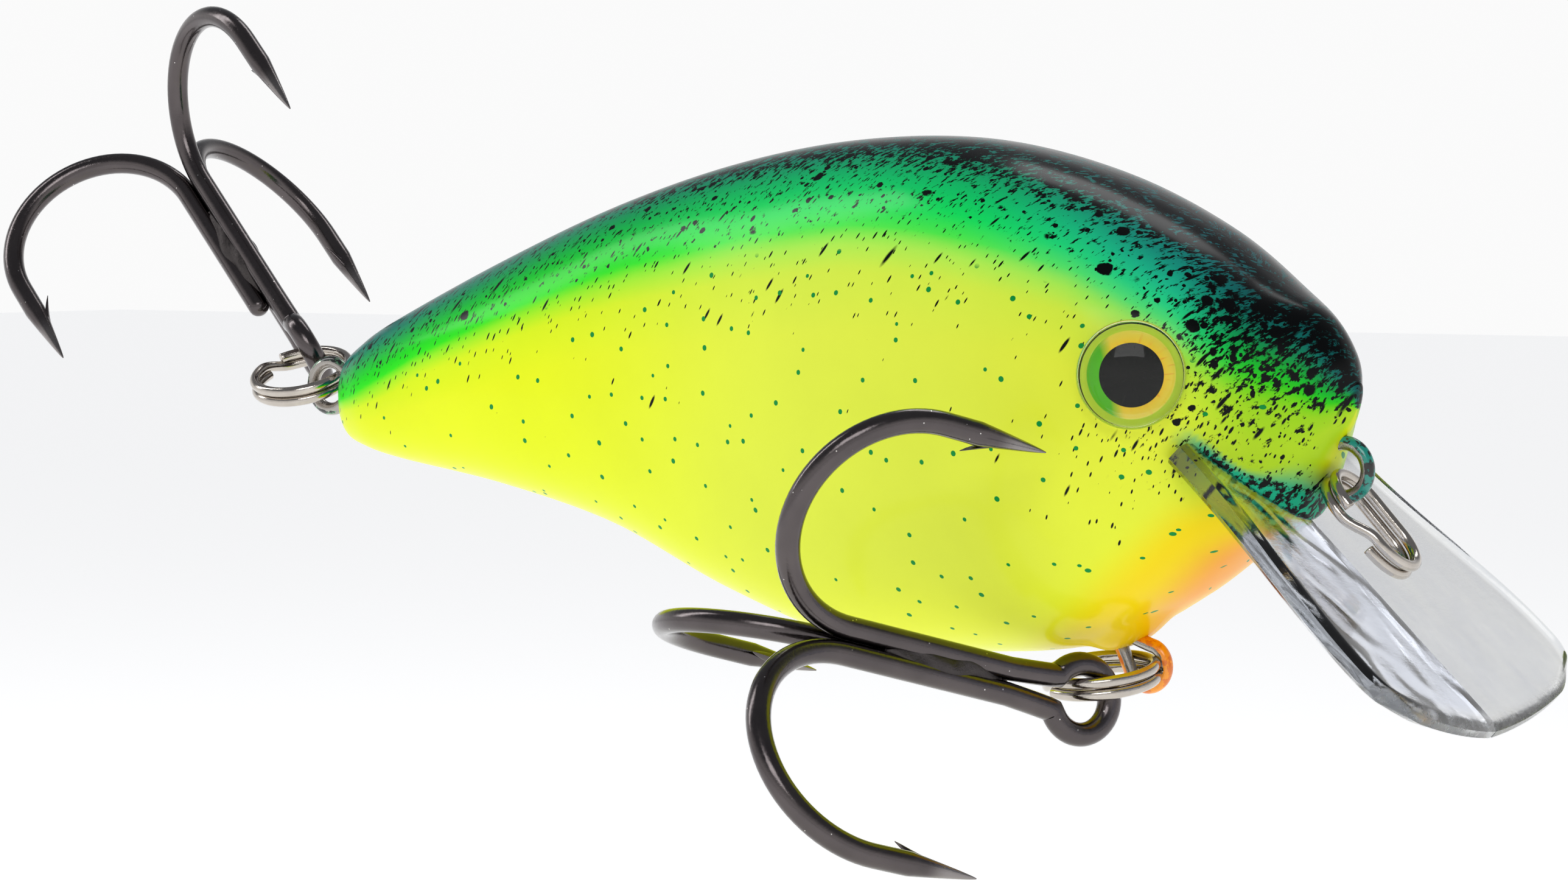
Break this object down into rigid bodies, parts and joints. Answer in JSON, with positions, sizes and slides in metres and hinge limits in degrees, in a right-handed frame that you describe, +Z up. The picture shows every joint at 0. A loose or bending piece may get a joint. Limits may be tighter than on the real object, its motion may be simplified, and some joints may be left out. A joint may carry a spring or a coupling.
{
  "type": "square-bill crankbait lure",
  "caption": "Short deep-bodied diving lure with a clear square bill under the nose, a hollow body, and treble hooks hung on split rings from belly and tail.",
  "frame": {"origin": "centre of the line-tie loop under the nose", "axes": "+X forward past the nose, along the body; +Y to port; +Z up through the back; the hooks lie swung aside at rest"},
  "size_m": [0.0806, 0.0348, 0.0359],
  "materials": {
    "body_paint": "chartreuse flank, green-blue back with black splatter, orange throat, under gloss clear coat",
    "clear_bill": "clear moulded plastic",
    "iris": "printed gold iris with black pupil",
    "eye_lens": "clear domed resin",
    "hanger_wire": "drawn wire, painted over outside",
    "ring_nickel": "bright nickel plate",
    "hook_nickel": "black nickel plate",
    "braze": "rough brazed joint under black nickel",
    "ballast": "plain metal",
    "rattle_steel": "polished steel ball"
  },
  "bodies": {
    "lure_body": {"half_shell_right": "body_paint", "half_shell_left": "body_paint", "bill_half_right": "clear_bill", "bill_half_left": "clear_bill", "eye_iris_right": "iris", "eye_iris_left": "iris", "eye_lens_right": "eye_lens", "eye_lens_left": "eye_lens", "line_tie_wire": "hanger_wire", "belly_hanger_wire": "hanger_wire", "tail_hanger_wire": "hanger_wire", "front_ballast": "ballast", "rear_ballast": "ballast"},
    "rattle_right": {"rattle_ball_right": "rattle_steel"},
    "rattle_left": {"rattle_ball_left": "rattle_steel"},
    "line_ring_body": {"line_ring": "ring_nickel"},
    "belly_ring_body": {"belly_split_ring": "ring_nickel"},
    "belly_treble": {"belly_double_hook": "hook_nickel", "belly_single_hook": "hook_nickel", "belly_hook_braze": "braze"},
    "tail_ring_body": {"tail_split_ring": "ring_nickel"},
    "tail_treble": {"tail_double_hook": "hook_nickel", "tail_single_hook": "hook_nickel", "tail_hook_braze": "braze"}
  },
  "joints": [
    {"name": "line_ring_swing", "type": "hinge", "parent": "lure_body", "child": "line_ring_body", "pos_m": [0, 0, 0], "axis": [0, 1, 0], "range_deg": [-110, 8]},
    {"name": "belly_ring_swing", "type": "hinge", "parent": "lure_body", "child": "belly_ring_body", "pos_m": [-0.0091, 0, -0.00855], "axis": [0, 1, 0], "range_deg": [-95, 2]},
    {"name": "belly_treble_swing", "type": "hinge", "parent": "belly_ring_body", "child": "belly_treble", "pos_m": [-0.01026, -0.00382, -0.00959], "axis": [0.9119, -0.397, 0.1041], "range_deg": [-1, 100]},
    {"name": "tail_ring_swing", "type": "hinge", "parent": "lure_body", "child": "tail_ring_body", "pos_m": [-0.0539, 0, 0.00215], "axis": [0, 1, 0], "range_deg": [-60, 36]},
    {"name": "tail_treble_swing", "type": "hinge", "parent": "tail_ring_body", "child": "tail_treble", "pos_m": [-0.05731, 0.00184, 0.00358], "axis": [0.5956, 0.6403, 0.485], "range_deg": [-60, 50]},
    {"name": "rattle_right_roll", "type": "slide", "parent": "lure_body", "child": "rattle_right", "axis": [0, -1, 0], "range_m": [0, 0.0022]},
    {"name": "rattle_left_roll", "type": "slide", "parent": "lure_body", "child": "rattle_left", "axis": [0, 1, 0], "range_m": [0, 0.0022]}
  ]
}
